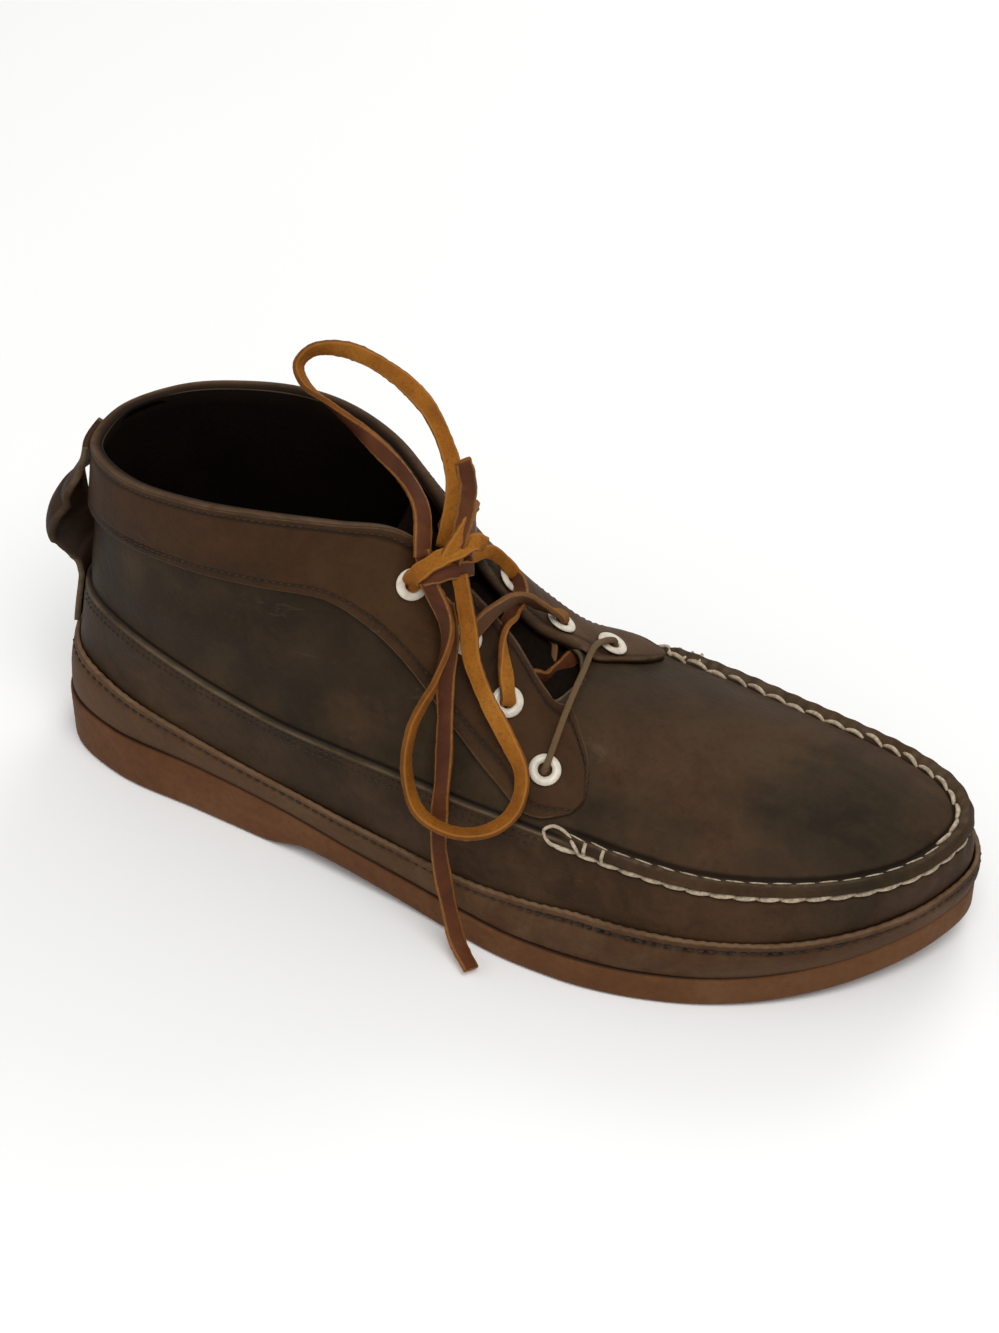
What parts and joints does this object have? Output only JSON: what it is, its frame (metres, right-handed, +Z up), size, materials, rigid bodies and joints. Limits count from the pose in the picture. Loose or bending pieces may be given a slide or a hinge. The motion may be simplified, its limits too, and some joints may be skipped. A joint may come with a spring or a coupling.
{
  "type": "chukka boot",
  "caption": "Ankle-high moccasin-toe leather chukka boot with a crowned plug, raised seam, collar band, metal eyelets, tied rawhide lace, heel pull loop and flat rubber sole.",
  "frame": {"origin": "on the floor under the middle of the heel", "axes": "+X towards the toe, +Y towards the inner side of the foot, +Z up"},
  "size_m": [0.2915, 0.1119, 0.1531],
  "materials": {
    "outsole": "matte",
    "insole": "matte",
    "rand": "oiled, low sheen",
    "upper": "oiled, low sheen",
    "collar_facing": "oiled, low sheen",
    "tongue": "matte",
    "eyelets": "satin enamel",
    "lace": "rawhide with a napped flesh side"
  },
  "bodies": {
    "root": {"outsole": "outsole", "insole": "insole", "rand": "rand", "upper": "upper", "collar_facing": "collar_facing", "tongue": "tongue", "backstay_pull_loop": "collar_facing", "eyelet_outer_1": "eyelets", "eyelet_inner_1": "eyelets", "eyelet_outer_2": "eyelets", "eyelet_inner_2": "eyelets", "eyelet_outer_3": "eyelets", "eyelet_inner_3": "eyelets", "eyelet_outer_4": "eyelets", "eyelet_inner_4": "eyelets", "lace_crossings": "lace", "lace_knot": "lace", "lace_loop_upper": "lace", "lace_loop_lower": "lace", "lace_end_long": "lace", "lace_end_short": "lace"}
  },
  "joints": []
}
